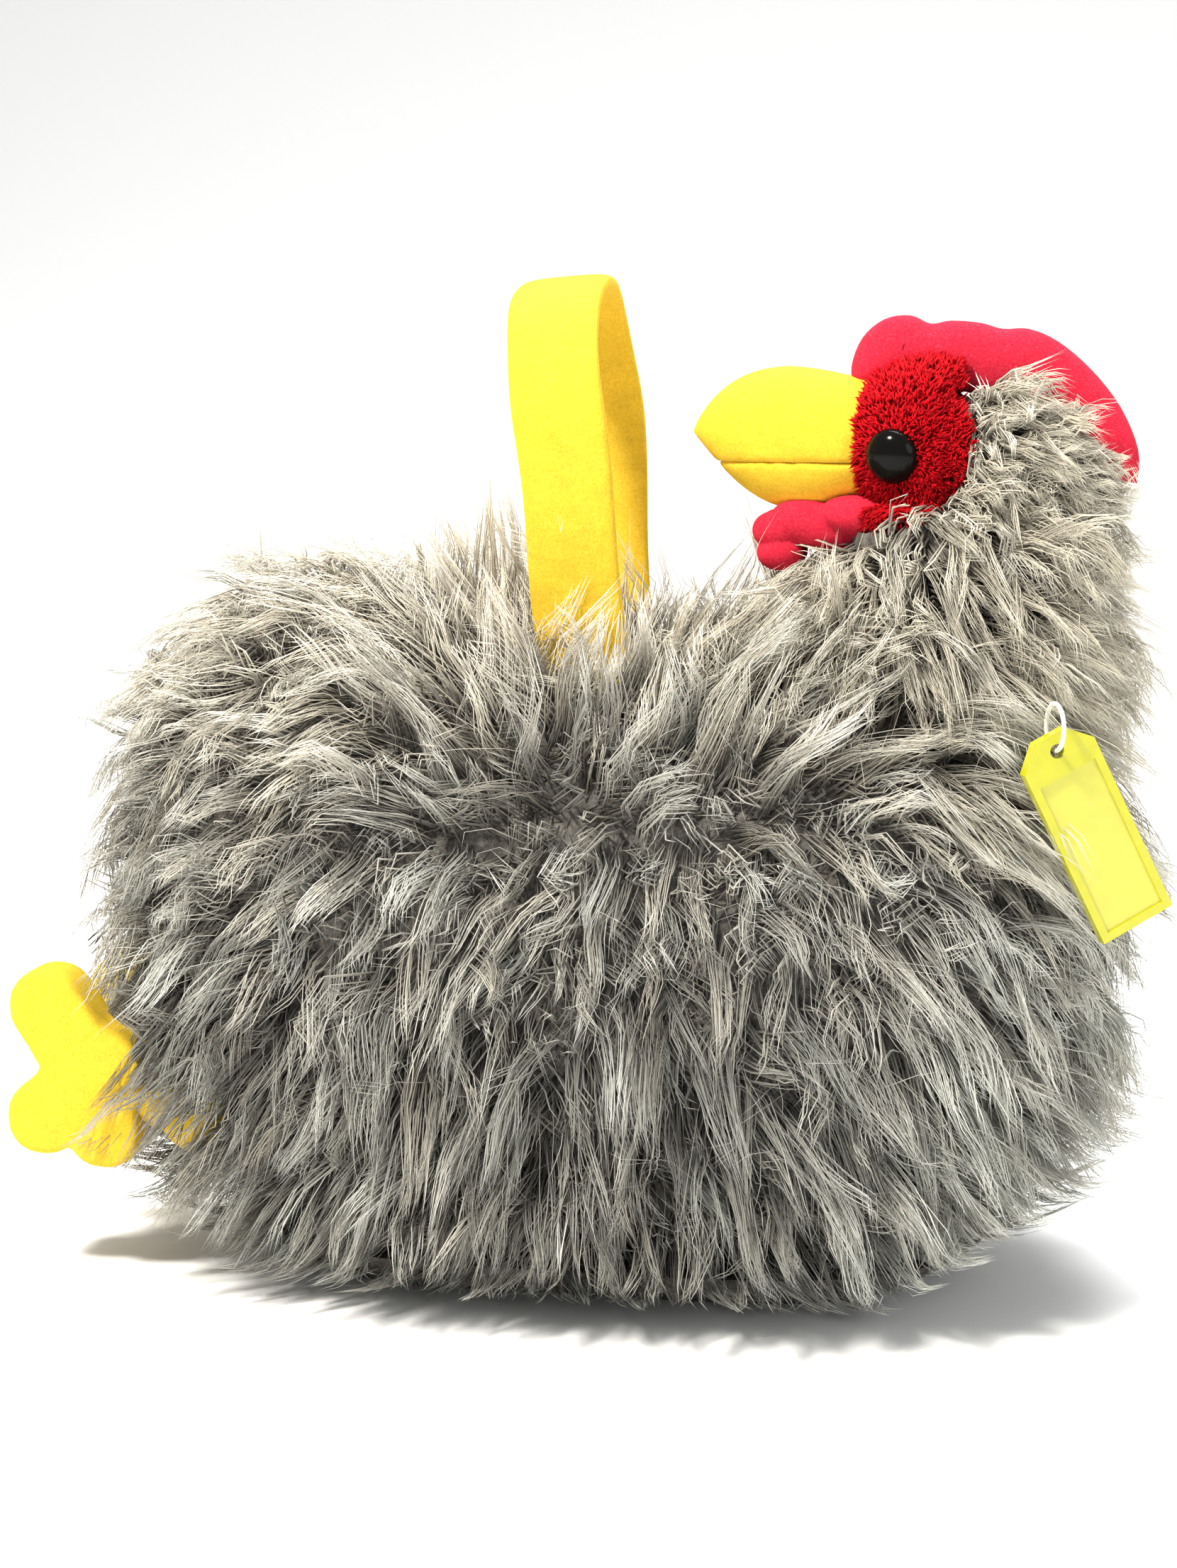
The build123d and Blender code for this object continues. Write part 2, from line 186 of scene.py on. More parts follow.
class Skin:
    """A closed surface that fibres are rooted on."""

    def __init__(self, mesh):
        mesh.calc_loop_triangles()
        self.co = np.empty(len(mesh.vertices) * 3, np.float32)
        mesh.vertices.foreach_get("co", self.co)
        self.co = self.co.reshape(-1, 3).astype(float)
        self.normals = np.empty(len(mesh.vertices) * 3, np.float32)
        mesh.vertices.foreach_get("normal", self.normals)
        self.normals = self.normals.reshape(-1, 3).astype(float)
        self.tris = np.empty(len(mesh.loop_triangles) * 3, np.int32)
        mesh.loop_triangles.foreach_get("vertices", self.tris)
        self.tris = self.tris.reshape(-1, 3)
        self.tree = BVHTree.FromPolygons(self.co.tolist(), self.tris.tolist())

    def scatter(self, count, rng, keep):
        """Points spread evenly by area where keep(points, normals) holds, with their normals."""
        a, b, c = (self.co[self.tris[:, i]] for i in range(3))
        area = np.linalg.norm(np.cross(b - a, c - a), axis=1) / 2
        wanted = keep((a + b + c) / 3, unit(np.cross(b - a, c - a)))
        area = area * wanted
        pick = rng.choice(len(area), count, p=area / area.sum())
        u, v = rng.random((2, count))
        flip = u + v > 1
        u[flip], v[flip] = 1 - u[flip], 1 - v[flip]
        w = np.stack([1 - u - v, u, v], 1)[:, :, None]
        points = (self.co[self.tris[pick]] * w).sum(1)
        return points, unit((self.normals[self.tris[pick]] * w).sum(1))

    def push_out(self, points, height):
        """Points that lie closer to the skin than height, or inside it, moved out."""
        moved = points.copy()
        for i, p in enumerate(points):
            near, normal, _, _ = self.tree.find_nearest(p)
            up = (Vector(p) - near).dot(normal)
            if up < height[i]:
                moved[i] = p + np.array(normal) * (height[i] - up)
        return moved


# ---- Materials ----------------------------------------------------------------------------------
class Shader:
    """A material's node tree with short ways to add and link nodes."""

    def __init__(self, name):
        self.material = bpy.data.materials.new(name)
        self.material.use_nodes = True
        self.nodes = self.material.node_tree.nodes
        self.links = self.material.node_tree.links
        self.surface = self.nodes["Principled BSDF"]

    def add(self, kind, **values):
        node = self.nodes.new(kind)
        for key, value in values.items():
            if key in node.inputs:
                node.inputs[key].default_value = value
            else:
                setattr(node, key, value)
        return node

    def link(self, source, target):
        self.links.new(source, target)

    def ramp(self, value, stops):
        node = self.nodes.new("ShaderNodeValToRGB")
        ramp = node.color_ramp
        while len(ramp.elements) < len(stops):
            ramp.elements.new(0.5)
        for element, (place, colour) in zip(ramp.elements, stops):
            element.position = place
            element.color = (*colour, 1)
        self.link(value, node.inputs["Fac"])
        return node.outputs["Color"]

    def math(self, operation, a, b=0.0):
        node = self.add("ShaderNodeMath", operation=operation)
        for socket, value in zip(node.inputs, (a, b)):
            if isinstance(value, (int, float)):
                socket.default_value = value
            else:
                self.link(value, socket)
        return node.outputs[0]

    def mix(self, factor, a, b, blend="MIX"):
        node = self.add("ShaderNodeMix", data_type="RGBA", blend_type=blend)
        for socket, value in ((node.inputs[0], factor), (node.inputs[6], a), (node.inputs[7], b)):
            if isinstance(value, (int, float)):
                socket.default_value = value
            elif isinstance(value, tuple):
                socket.default_value = (*value, 1)
            else:
                self.link(value, socket)
        return node.outputs[2]

    def step(self, value, steps):
        """Which of the steps between 0 and 1 a value lies in, again from 0 to 1."""
        return self.math("DIVIDE", self.math("FLOOR", self.math("MULTIPLY", value, steps)), steps - 1)

    def strand_map(self):
        """Across and up the map of tones and casts that strands are laid out on."""
        place = self.add("ShaderNodeUVMap", uv_map="OFBake")
        split = self.add("ShaderNodeSeparateXYZ")
        self.link(place.outputs["UV"], split.inputs[0])
        return split.outputs[0], split.outputs[1]

    def noise(self, scale, detail, **values):
        place = self.add("ShaderNodeTexCoord")
        noise = self.add("ShaderNodeTexNoise", Scale=scale, Detail=detail, **values)
        self.link(place.outputs["Object"], noise.inputs["Vector"])
        return noise.outputs["Fac"]

    def colour(self, source):
        self.link(source, self.surface.inputs["Base Color"])

    def bump(self, height, strength, distance):
        bump = self.add("ShaderNodeBump", Strength=strength, Distance=distance)
        self.link(height, bump.inputs["Height"])
        self.link(bump.outputs["Normal"], self.surface.inputs["Normal"])

    def principled(self, **values):
        for key, value in values.items():
            self.surface.inputs[key.replace("_", " ")].default_value = value
        return self


def nap_group():
    """Brushed fleece: a fine fibrous nap with soft patches. Gives a height and two masks."""
    group = bpy.data.node_groups.new("brushed_nap", "ShaderNodeTree")
    face = group.interface
    face.new_socket("Scale", in_out="INPUT", socket_type="NodeSocketFloat").default_value = 900
    for name in ("Height", "Patches", "Fibres"):
        face.new_socket(name, in_out="OUTPUT", socket_type="NodeSocketFloat")
    nodes, links = group.nodes, group.links
    inside, outside = nodes.new("NodeGroupInput"), nodes.new("NodeGroupOutput")
    place = nodes.new("ShaderNodeTexCoord")
    fine = nodes.new("ShaderNodeTexNoise")
    fine.inputs["Detail"].default_value, fine.inputs["Roughness"].default_value = 6, 0.7
    fine.inputs["Distortion"].default_value = 0.6
    patch = nodes.new("ShaderNodeTexNoise")
    patch.inputs["Detail"].default_value = 3
    coarse = nodes.new("ShaderNodeMath")
    coarse.operation = "MULTIPLY"
    coarse.inputs[1].default_value = 0.12
    links.new(inside.outputs["Scale"], coarse.inputs[0])
    links.new(inside.outputs["Scale"], fine.inputs["Scale"])
    links.new(coarse.outputs[0], patch.inputs["Scale"])
    for noise in (fine, patch):
        links.new(place.outputs["Object"], noise.inputs["Vector"])
    total = nodes.new("ShaderNodeMath")
    total.operation = "MULTIPLY_ADD"
    total.inputs[1].default_value = 0.5
    links.new(patch.outputs["Fac"], total.inputs[0])
    links.new(fine.outputs["Fac"], total.inputs[2])
    links.new(total.outputs[0], outside.inputs["Height"])
    links.new(patch.outputs["Fac"], outside.inputs["Patches"])
    links.new(fine.outputs["Fac"], outside.inputs["Fibres"])
    return group


NAP = nap_group()


def fleece(name, deep, body, light, scale=900, depth=0.5 * MM, sheen=0.35):
    """Napped cloth whose colour runs from deep between the fibres to light on their tips."""
    shader = Shader(name).principled(Roughness=0.92, Sheen_Weight=sheen, Sheen_Roughness=0.45)
    shader.principled(Specular_IOR_Level=0.15, Sheen_Tint=(*light, 1))
    nap = shader.add("ShaderNodeGroup", node_tree=NAP, Scale=scale)
    grain = shader.ramp(nap.outputs["Fibres"], [(0.32, deep), (0.5, body), (0.7, light)])
    shade = shader.ramp(nap.outputs["Patches"], [(0.35, grey(0.9)), (0.65, grey(1))])
    shader.colour(shader.mix(1.0, grain, shade, "MULTIPLY"))
    shader.bump(nap.outputs["Height"], 0.8, depth)
    return shader.material


def grey(level):
    return (level, level, level)


PILE_ALONG = [
    (0.0, (0.075, 0.067, 0.056)),
    (0.25, (0.20, 0.187, 0.162)),
    (0.6, (0.50, 0.485, 0.435)),
    (1.0, (0.82, 0.805, 0.74)),
]
PILE_TONES = [(0.0, (0.26, 0.25, 0.24)), (0.35, (0.58, 0.58, 0.57)), (0.7, grey(1)), (1.0, (1.2, 1.2, 1.19))]
PILE_CASTS = [(0.0, (0.97, 1.0, 1.0)), (0.5, (1.0, 0.985, 0.955)), (1.0, (1.0, 0.95, 0.86))]


def strand_material():
    """Long pile: dark at the root, pale at the tip, in tones and casts laid out on its own map."""
    shader = Shader("long_pile").principled(Roughness=0.62, Specular_IOR_Level=0.25)
    shader.principled(Sheen_Weight=0.15, Sheen_Roughness=0.4)
    across, up = shader.strand_map()
    root_to_tip = shader.ramp(shader.math("FRACT", shader.math("MULTIPLY", up, CASTS)), PILE_ALONG)
    brightness = shader.ramp(shader.step(across, TONES), PILE_TONES)
    tinted = shader.mix(1.0, root_to_tip, brightness, "MULTIPLY")
    warmth = shader.ramp(shader.step(up, CASTS), PILE_CASTS)
    shader.colour(shader.mix(1.0, tinted, warmth, "MULTIPLY"))
    return shader.material


PLUSH_ALONG = [(0.0, (0.20, 0.0, 0.002)), (0.5, (0.42, 0.001, 0.005)), (1.0, (0.62, 0.006, 0.014))]


def plush_material():
    """Short red pile: near black-red at the root, each fibre a little different."""
    shader = Shader("red_pile").principled(Roughness=0.85, Specular_IOR_Level=0.1)
    across, up = shader.strand_map()
    along = shader.ramp(shader.math("FRACT", shader.math("MULTIPLY", up, CASTS)), PLUSH_ALONG)
    vary = shader.ramp(shader.step(across, TONES), [(0.0, grey(0.7)), (1.0, grey(1.15))])
    shader.colour(shader.mix(1.0, along, vary, "MULTIPLY"))
    return shader.material


def undercoat_material():
    """The felted ground of the long pile, as dark as the pile's roots."""
    shader = Shader("undercoat").principled(Roughness=1.0, Specular_IOR_Level=0.05)
    felt = shader.noise(420.0, 5.0, Roughness=0.7)
    shader.colour(shader.ramp(felt, [(0.3, (0.06, 0.054, 0.046)), (0.7, (0.22, 0.205, 0.18))]))
    shader.bump(felt, 1.0, 1.5 * MM)
    return shader.material


def plastic(name, colour, roughness=0.2, **values):
    """Moulded plastic with a faint surface waviness."""
    shader = Shader(name).principled(Roughness=roughness, **values)
    waves = shader.noise(260.0, 3.0)
    darker = tuple(c * 0.93 for c in colour)
    shader.colour(shader.ramp(waves, [(0.35, darker), (0.65, colour)]))
    shader.bump(waves, 0.15, 0.2 * MM)
    return shader.material


FINE_NAP = {"scale": 1500, "depth": 0.25 * MM}
DEEP_NAP = {"scale": 800, "depth": 0.6 * MM, "sheen": 0}
YELLOW = fleece("yellow_fleece", (0.72, 0.43, 0.020), (0.84, 0.55, 0.036), (0.90, 0.64, 0.065), **FINE_NAP)
RED_FLEECE = fleece("red_fleece", (0.50, 0.010, 0.028), (0.62, 0.018, 0.045), (0.72, 0.045, 0.08), **FINE_NAP)
RED_PLUSH = fleece("red_plush", (0.20, 0.0, 0.002), (0.36, 0.001, 0.005), (0.50, 0.006, 0.012), **DEEP_NAP)
PILE = strand_material()
UNDERCOAT = undercoat_material()
FACE_PLUSH = plush_material()


# ---- Strands ------------------------------------------------------------------------------------
def strand_parts(paths, radii, tone, cast):
    """Closed three-sided tapering strands. paths is (strands, points, 3); the last point is the tip."""
    count, points = paths.shape[:2]
    rings = points - 1
    along = unit(np.gradient(paths, axis=1))
    across = unit(np.cross(paths[:, -1] - paths[:, 0], np.array([0.37, 0.52, 0.77])))
    side = unit(across[:, None] - along * (across[:, None] * along).sum(-1, keepdims=True))
    third = np.cross(along, side)
    taper = np.linspace(1, 0.35, points)[None, :, None]
    verts = np.empty((count, rings * 3 + 1, 3))
    for corner in range(3):
        angle = corner * math.tau / 3
        shift = (side * math.cos(angle) + third * math.sin(angle)) * radii[:, None, None] * taper
        verts[:, corner : rings * 3 : 3] = (paths + shift)[:, :rings]
    verts[:, -1] = paths[:, -1]
    ring = np.arange(rings - 1)[:, None] * 3
    corner = np.arange(3)[None]
    after = (corner + 1) % 3
    quads = np.stack([ring + corner, ring + after, ring + 3 + after, ring + 3 + corner], -1).reshape(-1, 4)
    last = (rings - 1) * 3
    tris = np.array([[last + i, last + (i + 1) % 3, rings * 3] for i in range(3)] + [[2, 1, 0]])
    step = (np.arange(count) * (rings * 3 + 1))[:, None, None]
    # The colour map: a column for the tone, a row for the cast, and root to tip up the row.
    column = tone[:, None] / TONES
    left, right = column + 0.06 / TONES, column + 0.94 / TONES
    spans = [(cast[:, None] + 0.02 + 0.96 * k / rings) / CASTS for k in range(rings + 1)]
    quad_uv = np.empty((count, len(quads), 4, 2))
    for k in range(rings - 1):
        rows = slice(3 * k, 3 * k + 3)
        low, high = spans[k : k + 2]
        for i, (u, v) in enumerate(((left, low), (right, low), (right, high), (left, high))):
            quad_uv[:, rows, i, 0], quad_uv[:, rows, i, 1] = u, v
    tri_uv = np.empty((count, 4, 3, 2))
    middle = (left + right) / 2
    for i, (u, v) in enumerate(((left, spans[-2]), (right, spans[-2]), (middle, spans[-1]))):
        tri_uv[:, :3, i, 0], tri_uv[:, :3, i, 1] = u, v
    for i, (u, v) in enumerate(((right, spans[0]), (middle, spans[1]), (left, spans[0]))):
        tri_uv[:, 3:, i, 0], tri_uv[:, 3:, i, 1] = u, v
    quads, tris = (quads[None] + step).reshape(-1, 4), (tris[None] + step).reshape(-1, 3)
    return verts.reshape(-1, 3), quads, tris, quad_uv.reshape(-1, 2), tri_uv.reshape(-1, 2)


def joined(parts):
    """One mesh from several sets of strands."""
    shift = np.cumsum([0] + [len(part[0]) for part in parts])
    verts, quads, tris = (
        np.concatenate([part[i] + (shift[k] if i else 0) for k, part in enumerate(parts)]) for i in range(3)
    )
    uv = np.concatenate([part[3] for part in parts] + [part[4] for part in parts])
    return mesh_of(verts, quads, tris, uv)


def flow(points, normals):
    """The way the pile is combed at points on the skin."""
    x, y, z = points.T
    side = np.where(y < 0, -1.0, 1.0)
    # Body: out from the middle of the side, and down.
    body = np.stack([(x - 0.012) / 0.075, 0.15 * side, (z - 0.135) / 0.07 - 0.55], 1)
    up = shoulders(points)[:, None]
    body = body * (1 - up) + np.stack([(x - 0.005) / 0.09, 0.1 * side, 1.0 + 0 * x], 1) * up
    # Neck: back and a little down behind its axis, forwards in front of it.
    neck = np.stack([(x - 0.085) / 0.035, 0.25 * side, -0.35 + 0 * x], 1)
    # Head: away from the face, and up over the comb.
    head = np.stack([(x - 0.088) / 0.028, 0.3 * side, (z - 0.222) / 0.026], 1)
    on_neck = smoothstep(0.168, 0.188, z) * smoothstep(0.035, 0.055, x)
    on_head = smoothstep(0.203, 0.216, z) * smoothstep(0.035, 0.055, x)
    comb = body * (1 - on_neck[:, None]) + neck * on_neck[:, None]
    comb = comb * (1 - on_head[:, None]) + head * on_head[:, None]
    # Under the belly: out to the rim.
    under = smoothstep(-0.10, -0.55, normals[:, 2]) * smoothstep(0.16, 0.10, z)
    rim = np.stack([x / 0.075, y / 0.045, -0.35 + 0 * x], 1)
    comb = comb * (1 - under[:, None]) + rim * under[:, None]
    comb = comb - normals * (comb * normals).sum(1, keepdims=True) * (1 - 0.6 * under[:, None])
    return unit(comb)


def shoulders(points):
    """1 round the strap and from there to the neck, where the pile stands up."""
    x, _, z = points.T
    return smoothstep(0.128, 0.148, z) * smoothstep(-0.055, -0.03, x) * smoothstep(0.10, 0.07, x)


def curliness(points):
    """1 where the pile is short and matted, 0 where it hangs in long straight locks."""
    x, _, z = points.T
    straight = 0.45 * smoothstep(0.06, 0.11, x) * smoothstep(0.19, 0.16, z) + 0.5 * shoulders(points)
    neck = 0.4 * smoothstep(0.172, 0.185, z) * smoothstep(0.04, 0.06, x)
    return np.clip(smoothstep(0.070, 0.115, z) - straight - neck, 0, 1)


def nearest(points, targets):
    tree = KDTree(len(targets))
    for i, p in enumerate(targets):
        tree.insert(p, i)
    tree.balance()
    return np.array([tree.find(p)[1] for p in points])


def followed(roots, heads, lines, rng, gather, wobble, loose=0.28):
    """Lines from roots that run beside the nearest of the given lines and close in on it to the tip."""
    count, points = len(roots), lines.shape[1]
    mine = nearest(roots, heads)
    offset = (roots - heads[mine])[:, None]
    scale = rng.uniform(0.76, 1.06, (count, 1, 1))
    t = np.linspace(0, 1, points)[None, :, None]
    close = rng.uniform(gather - loose, min(1.0, gather + 0.10), (count, 1, 1))
    paths = roots[:, None] + (lines[mine] - heads[mine][:, None]) * scale - offset * close * t**0.8
    phase = rng.uniform(0, math.tau, (count, 1, 3))
    rate = rng.uniform(0.5, 1.4, (count, 1, 1)) * math.tau
    paths = paths + (np.sin(phase + rate * t) - np.sin(phase)) * t * rng.gamma(2.0, wobble, (count, 1, 1))
    return mine, paths


def contained(paths):
    """Strands kept above the floor and softly within the reach of the pile."""
    for axis, far in enumerate(REACH):
        soft = far - REACH_EASE
        value = paths[..., axis]
        beyond = np.maximum(np.abs(value) - soft, 0) / REACH_EASE
        paths[..., axis] = np.where(beyond > 0, np.sign(value) * (soft + REACH_EASE * np.tanh(beyond)), value)
    # The belly's pile hangs free of the floor, higher towards the ends and sides.
    x, y = np.abs(paths[..., 0]), np.abs(paths[..., 1])
    z = paths[..., 2]
    rim = 0.8 * MM + 0.26 * np.maximum(y - 0.05, 0) + 0.62 * np.maximum(x - 0.09, 0)
    soft = 12 * MM
    lifted = rim + soft * np.exp(np.minimum(z - rim - soft, 0) / soft)
    paths[..., 2] = np.where(np.abs(z) < rim + soft, lifted, np.abs(z))
    return paths


def grow(skin, count, locks, rng, keep, points, length, curl, lift, gather, gravity=0.30, spread=0.33):
    """Strands over a stretch of skin, gathered into locks that curl, lean over and hang.

    Gives each strand's lock, the locks' roots and the strands' paths.
    """
    heads, stands = skin.scatter(locks, rng, keep)
    # Each lock's middle line.
    way = unit(flow(heads, stands) + rng.normal(0, spread, (locks, 3)))
    tight = curliness(heads)[:, None]
    high = smoothstep(0.150, 0.180, heads[:, 2])[:, None]
    up = shoulders(heads)[:, None]
    tail = (smoothstep(-0.080, -0.105, heads[:, 0]) * smoothstep(0.11, 0.09, heads[:, 2]))[:, None]
    rump = high * smoothstep(-0.045, -0.07, heads[:, 0])[:, None]
    by_comb = (smoothstep(0.232, 0.244, heads[:, 2]) * smoothstep(0.100, 0.108, heads[:, 0]))[:, None]
    chin = (smoothstep(0.100, 0.085, heads[:, 0]) * smoothstep(0.188, 0.202, heads[:, 2]))[:, None]
    nape = (smoothstep(0.108, 0.130, heads[:, 0]) * smoothstep(0.180, 0.200, heads[:, 2]))[:, None]
    extra = 0.10 * high + 0.16 * up + 0.50 * tail + 0.14 * rump - 0.50 * chin + 0.12 * by_comb - 0.34 * nape
    long = length * rng.uniform(0.70, 1.15, (locks, 1)) * (1.12 - 0.27 * tight + extra)
    rise = lift * (1 + 0.35 * high + 0.3 * up + 0.4 * rump - 0.3 * chin - 0.3 * nape)
    rise = rise * rng.uniform(0.55, 1.45, (locks, 1))
    heading = unit(way * 0.75 + stands * rise)
    gravity = gravity * (1 - 0.9 * up)
    first = unit(np.cross(heading, unit(rng.normal(0, 1, (locks, 3)))))
    second = np.cross(heading, first)
    turn = rng.uniform(0.7, 1.5, (locks, 1)) * rng.choice([-1, 1], (locks, 1)) * math.tau
    sway = curl * (0.30 + 0.95 * tight) * rng.gamma(3.0, 0.33, (locks, 1))
    line = [heads]
    for k in range(1, points):
        t = k / (points - 1)
        bend = (first * np.cos(turn * t) + second * np.sin(turn * t)) * sway
        heading = unit(heading + bend * (6 / points) + way * 0.22 - np.array([0, 0, 1.4 * t]) * gravity)
        point = line[-1] + heading * long / (points - 1)
        line.append(skin.push_out(point, np.full(locks, 2.5 * MM + 5 * MM * t)))
    line = np.stack(line, 1)
    # Small locks run beside the large ones, and strands beside the small ones.
    small, _ = skin.scatter(locks * 3, rng, keep)
    of_large, small_lines = followed(small, heads, line, rng, gather * 0.72, 0.7 * MM * (0.7 + curl))
    roots, _ = skin.scatter(count, rng, keep)
    of_small, paths = followed(roots, small, small_lines, rng, gather, 0.26 * MM * (0.7 + curl))
    return of_large[of_small], heads, contained(paths)


def tones_of(mine, heads, rng, middle, vary):
    """Column and row of the tone map for each strand: its lock's, and a little of its own."""
    tone, cast = pile_tone(heads, rng, middle, vary)
    tone = tone[mine] + rng.normal(0, 0.09, len(mine))
    return np.clip(np.round(tone * (TONES - 1)), 0, TONES - 1), cast[mine]


def pile_tone(points, rng, middle, vary):
    """Tone and cast of a lock rooted at a point: painted shade darkens it in the parting, the hollow, at the
    nape and on the belly; painted light makes it lighter and warmer on top; the breast is a little lighter.
    """
    x, _, z = points.T
    # Painted shade: the locks are darkened in the parting, in the hollow low on the side and at the nape
    # under the head.
    parting_shade = np.exp(-(((z - 0.138) / 0.012) ** 2)) * smoothstep(0.06, 0.02, x) * smoothstep(-0.14, -0.10, x)
    hollow_shade = np.exp(-(((x - 0.02) / 0.035) ** 2 + ((z - 0.098) / 0.02) ** 2))
    nape = np.exp(-(((x - 0.105) / 0.022) ** 2 + ((z - 0.188) / 0.012) ** 2))
    # Painted light: the locks on top are lighter, where the light from above falls.
    crown = smoothstep(0.135, 0.165, z)
    # Painted shade: the locks low on the belly are darker, away from the light above.
    belly_shade = smoothstep(0.115, 0.085, z) * smoothstep(0.085, 0.04, x) * smoothstep(-0.135, -0.10, x)
    breast = smoothstep(0.07, 0.10, x) * smoothstep(0.05, 0.09, z)
    tone = middle + 0.16 * crown + 0.20 * breast - 0.32 * belly_shade
    tone = tone - 0.20 * parting_shade - 0.10 * hollow_shade - 0.14 * nape + rng.normal(0, vary, len(points))
    # Painted warm light: the cast turns warmer higher up, on top of a random spread.
    cast = 0.25 + 0.9 * smoothstep(0.10, 0.20, z) + rng.normal(0, 0.22, len(points))
    return tone, np.clip(np.round(cast * (CASTS - 1)), 0, CASTS - 1)


# Edge of the red plush seen from the side: x and z in mm.
FACE_OUTLINE = [
    (64, 219), (68, 228), (72, 240), (74, 252), (94, 252),
    (102, 244), (106, 234), (100, 219), (90, 213), (74, 211),
]


def in_face(points):
    """Where the head carries short red plush in place of long pile: inside an outline seen from the side."""
    x, z = points[:, 0] / MM, points[:, 2] / MM
    inside = np.ones(len(points), bool)
    for (ax, az), (bx, bz) in zip(FACE_OUTLINE, FACE_OUTLINE[1:] + FACE_OUTLINE[:1]):
        inside &= (bx - ax) * (z - az) - (bz - az) * (x - ax) <= 0
    return inside


def make_skin():
    """The body, neck and head without their pile."""
    mesh = fused(["body_stuffing", "neck_stuffing", "head_stuffing"], 3.2 * MM, 14, 2.0 * MM)
    skin = Skin(mesh)
    x, _, z = skin.co.T
    crown = smoothstep(0.200, 0.216, z) * smoothstep(0.085, 0.108, x) * 7.5 * MM
    face = np.where(in_face(skin.co), 4.0 * MM, 0.0)
    skin.co -= skin.normals * np.maximum(crown, face)[:, None]
    mesh.vertices.foreach_set("co", np.ravel(skin.co).astype(np.float32))
    mesh.update()
    return Skin(mesh)


def on_neck(points):
    return (points[:, 2] > NECK_LOW - 4 * MM) & (points[:, 0] > 0.045)


def on_brow(points):
    return (points[:, 0] < 0.086) | ((points[:, 0] < 0.104) & (points[:, 2] > 0.240))


def near_comb(points):
    return (np.abs(points[:, 1]) < 8.5 * MM) & (points[:, 2] > 0.224)


def body_pile(points, normals):
    return ~on_neck(points) & (points[:, 2] > 0.004) & (normals[:, 2] > -0.93)


def neck_pile(points, normals):
    chin = (points[:, 0] < 0.088) & (points[:, 2] > 0.206)
    return on_neck(points) & (points[:, 2] < HEAD_LOW) & ~chin


def head_pile(points, normals):
    bare = in_face(points) | near_comb(points) | on_brow(points)
    return on_neck(points) & (points[:, 2] >= HEAD_LOW) & ~bare


def neck_guard(points, normals):
    return neck_pile(points, normals) & ((points[:, 0] > 0.110) | (points[:, 2] < 0.188))


def head_guard(points, normals):
    return head_pile(points, normals) & (points[:, 0] > 0.116)


# For each stretch: where its pile and its stray hairs stand, and its length against the body's.
STRETCHES = {
    "body": (body_pile, body_pile, 1.0),
    "neck": (neck_pile, neck_guard, 1.0),
    "head": (head_pile, head_guard, 0.55),
}
# For each layer: its strands, strands to a lock, points and length of a strand, how it grows, then
# its middle tone, the tone's spread and the strand's radius.
WOOL = (WOOL_STRANDS, 12, 5, 24 * MM, (0.9, 1.3, 0.60, 0.1, 0.7), 0.46, 0.13, 0.40 * MM)
LOCKS = (LOCK_STRANDS, 17, 6, 40 * MM, (0.40, 1.0, 0.86), 0.62, 0.17, 0.25 * MM)
GUARD = (GUARD_HAIRS, 1, 5, 40 * MM, (0.35, 1.2, 0.4, 0.2, 0.8), 0.85, 0.12, 0.11 * MM)


def make_pile(skin):
    """Long pile over body, neck and head: matted wool, locks over it, and a few stray hairs."""
    rng = np.random.default_rng(SEED)
    for part, (pile_keep, guard_keep, size) in STRETCHES.items():
        layers = []
        for layer in (WOOL, LOCKS, GUARD):
            strands, per_lock, points, length, growth, middle, vary, width = layer
            count = strands[part]
            locks = count // per_lock
            keep = guard_keep if layer is GUARD else pile_keep
            mine, heads, paths = grow(skin, count, locks, rng, keep, points, length * size, *growth)
            tone, cast = tones_of(mine, heads, rng, middle, vary)
            layers.append((heads[mine], paths, width * rng.uniform(0.7, 1.2, count), tone, cast))
        for name, chosen in split_pile(part, layers):
            parts = [
                strand_parts(*(column[rows] for column in layer[1:])) for layer, rows in zip(layers, chosen)
            ]
            yield name, add_object(name, joined(parts), PILE)


def make_tag_tuft(skin):
    """Long hairs over the nylon loop, where the tag hangs out of the pile."""
    rng = np.random.default_rng(SEED + 2)
    hole = np.array(JOINTS["tag_swing"])

    def keep(points, normals):
        near = np.linalg.norm(points - hole + [0.012, -0.012, -0.004], axis=1) < 0.034
        return near & (points[:, 1] < -0.012)

    mine, heads, paths = grow(skin, 1300, 80, rng, keep, 6, 46 * MM, 0.22, 2.4, 0.84, 0.24, 0.25)
    tone, cast = tones_of(mine, heads, rng, 0.62, 0.15)
    part = strand_parts(paths, 0.24 * MM * rng.uniform(0.7, 1.2, len(mine)), tone, cast)
    return add_object("pile_tag_tuft", joined([part]), PILE)


def capped(mesh):
    """Close the open edges of a mesh."""
    shape = bmesh.new()
    shape.from_mesh(mesh)
    filled = bmesh.ops.holes_fill(shape, edges=shape.edges, sides=0)["faces"]
    bmesh.ops.triangulate(shape, faces=filled)
    shape.to_mesh(mesh)
    shape.free()


